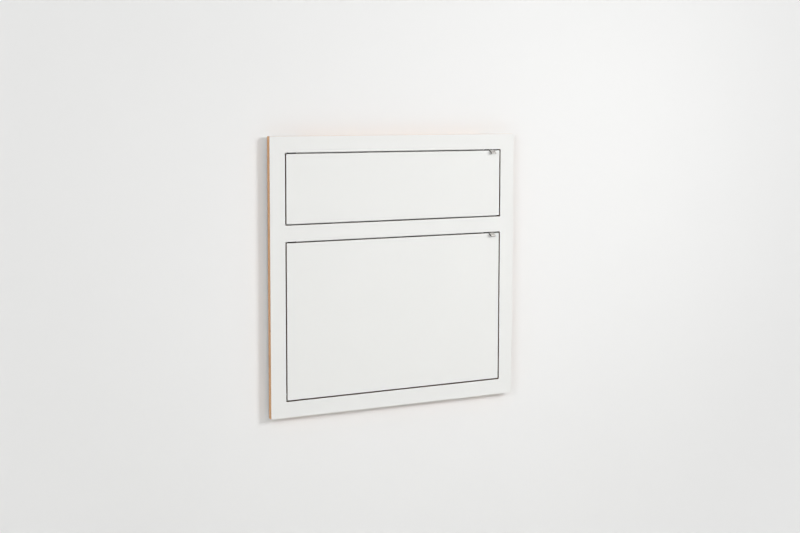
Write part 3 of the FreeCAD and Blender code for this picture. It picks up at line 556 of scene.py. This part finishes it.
# --- room, light and camera ------------------------------------------------------------------
def stage_plane(name, corners, look):
    mesh = bpy.data.meshes.new(name)
    mesh.from_pydata(corners, [], [(0, 1, 2, 3)])
    mesh.materials.append(look.material)
    plane = bpy.data.objects.new(name, mesh)
    bpy.context.scene.collection.objects.link(plane)
    return plane


def make_room():
    light, lighter = (0.868, 0.868, 0.862), (0.884, 0.884, 0.878)
    wall_paint = one_sided("wall_paint", light, lighter, 700.0, 0.05, 0.85, 0.75)
    floor_paint = one_sided("floor_paint", (0.74, 0.74, 0.73), (0.78, 0.78, 0.77), 400.0, 0.05, 0.7)
    side, back, down, up = 14.0, 0.0003, -1.44, 5.0
    wall = [(-side, back, down), (side, back, down), (side, back, up), (-side, back, up)]
    floor = [(-side, -side, down), (side, -side, down), (side, side, down), (-side, side, down)]
    return stage_plane("wall", wall, wall_paint), stage_plane("floor", floor, floor_paint)


# Name, place, point it is aimed at, width and height, watts and spread in degrees.
LAMPS = [
    ("key", (1.95, -2.7, 0.75), (0.0, -0.02, -0.36), (1.0, 1.0), 33.0, 140),
    ("front_fill", (-0.3, -5.0, 1.0), (0.0, 0.0, -0.3), (3.0, 3.0), 7.3, 60),
    ("left_fill", (-3.4, -3.0, 0.9), (-0.2, 0.0, -0.3), (2.0, 2.0), 54.0, 180),
    ("top_fill", (0.0, -1.6, 2.6), (0.0, 0.0, -0.2), (2.2, 1.4), 5.0, 180),
    ("back_light", (0.9, 2.8, -0.7), (0.0, 0.0, -0.4), (2.6, 2.6), 52.0, 180),
    ("back_sheen", (0.4, 2.8, -0.5), (0.0, 0.0, -0.4), (3.4, 3.0), 34.0, 180),
]
BACK_LAMPS = ("back_light", "back_sheen")
AMBIENT = 0.18                  # world's strength as light
BACKDROP = 0.82                 # world's strength as the camera, metal and glass see it
IN_THE_GAPS = ["frame_core", "catch_magnets_eased"] + of_bays("flap_core", "pull_tab_eased")


def area_light(name, place, aim, size, watts, spread):
    data = bpy.data.lights.new(name, "AREA")
    data.shape = "RECTANGLE"
    data.size, data.size_y = size
    data.energy = watts
    data.spread = math.radians(spread)
    lamp = bpy.data.objects.new(name, data)
    bpy.context.scene.collection.objects.link(lamp)
    lamp.location = place
    lamp.rotation_mode = "QUATERNION"
    lamp.rotation_quaternion = (Vector(aim) - Vector(place)).to_track_quat("-Z", "Y")
    lamp.visible_camera = False
    return lamp


def all_but(name, objects):
    """Light-linking collection that leaves these objects out."""
    group = bpy.data.collections.new(name)
    for left_out in objects:
        group.objects.link(left_out)
    for member in group.collection_objects:
        member.light_linking.link_state = "EXCLUDE"
    return group


def make_light(stages):
    lamps = {lamp[0]: area_light(*lamp) for lamp in LAMPS}

    # The wall shows nothing from behind, so two lamps light the desk's back through it. They leave
    # the stage and what the gaps show from the front as they are. Without bounces and importance
    # sampling, none of their light reaches the wall from the desk's back.
    hidden = list(stages) + [bpy.data.objects[name] for name in IN_THE_GAPS]
    receivers = all_but("back_lamps_leave", hidden)
    blockers = all_but("back_lamps_pass", stages)
    for name in BACK_LAMPS:
        lamps[name].data.cycles.max_bounces = 0
        lamps[name].data.cycles.use_multiple_importance_sampling = False
        lamps[name].light_linking.receiver_collection = receivers
        lamps[name].light_linking.blocker_collection = blockers
    lamps["back_light"].visible_glossy = False

    world = bpy.data.worlds.new("studio")
    bpy.context.scene.world = world
    world.use_nodes = True
    tree = world.node_tree
    path = tree.nodes.new("ShaderNodeLightPath")
    strength = tree.nodes.new("ShaderNodeMapRange")
    strength.inputs["To Min"].default_value = AMBIENT
    strength.inputs["To Max"].default_value = BACKDROP
    seen = path.outputs["Is Camera Ray"]
    for ray in ("Is Glossy Ray", "Is Transmission Ray"):
        either = tree.nodes.new("ShaderNodeMath")
        either.operation = "MAXIMUM"
        tree.links.new(seen, either.inputs[0])
        tree.links.new(path.outputs[ray], either.inputs[1])
        seen = either.outputs[0]
    tree.links.new(seen, strength.inputs["Value"])
    background = tree.nodes["Background"]
    background.inputs["Color"].default_value = (1.0, 1.0, 0.995, 1.0)
    tree.links.new(strength.outputs[0], background.inputs["Strength"])


CAMERA_PLACE = (-1.83296, -3.54025, 0.13241)
CAMERA_TURN = -0.48339          # radians from square to the wall, to the right
CAMERA_DIP = 0.09164            # radians below the level
CAMERA_ROLL = 0.0018
LENS = 61.11
SHIFT_Y = -0.05


def make_camera():
    data = bpy.data.cameras.new("camera")
    data.sensor_width = 36.0
    data.lens = LENS
    data.shift_y = SHIFT_Y
    camera = bpy.data.objects.new("camera", data)
    bpy.context.scene.collection.objects.link(camera)
    turn = Matrix.Rotation(CAMERA_TURN, 4, "Z")
    tilt = Matrix.Rotation(math.pi / 2 - CAMERA_DIP, 4, "X")
    roll = Matrix.Rotation(CAMERA_ROLL, 4, "Z")
    camera.matrix_world = Matrix.Translation(CAMERA_PLACE) @ turn @ tilt @ roll
    bpy.context.scene.camera = camera


dress_model()
make_light(make_room())
make_camera()
bpy.context.scene.view_settings.view_transform = "Standard"
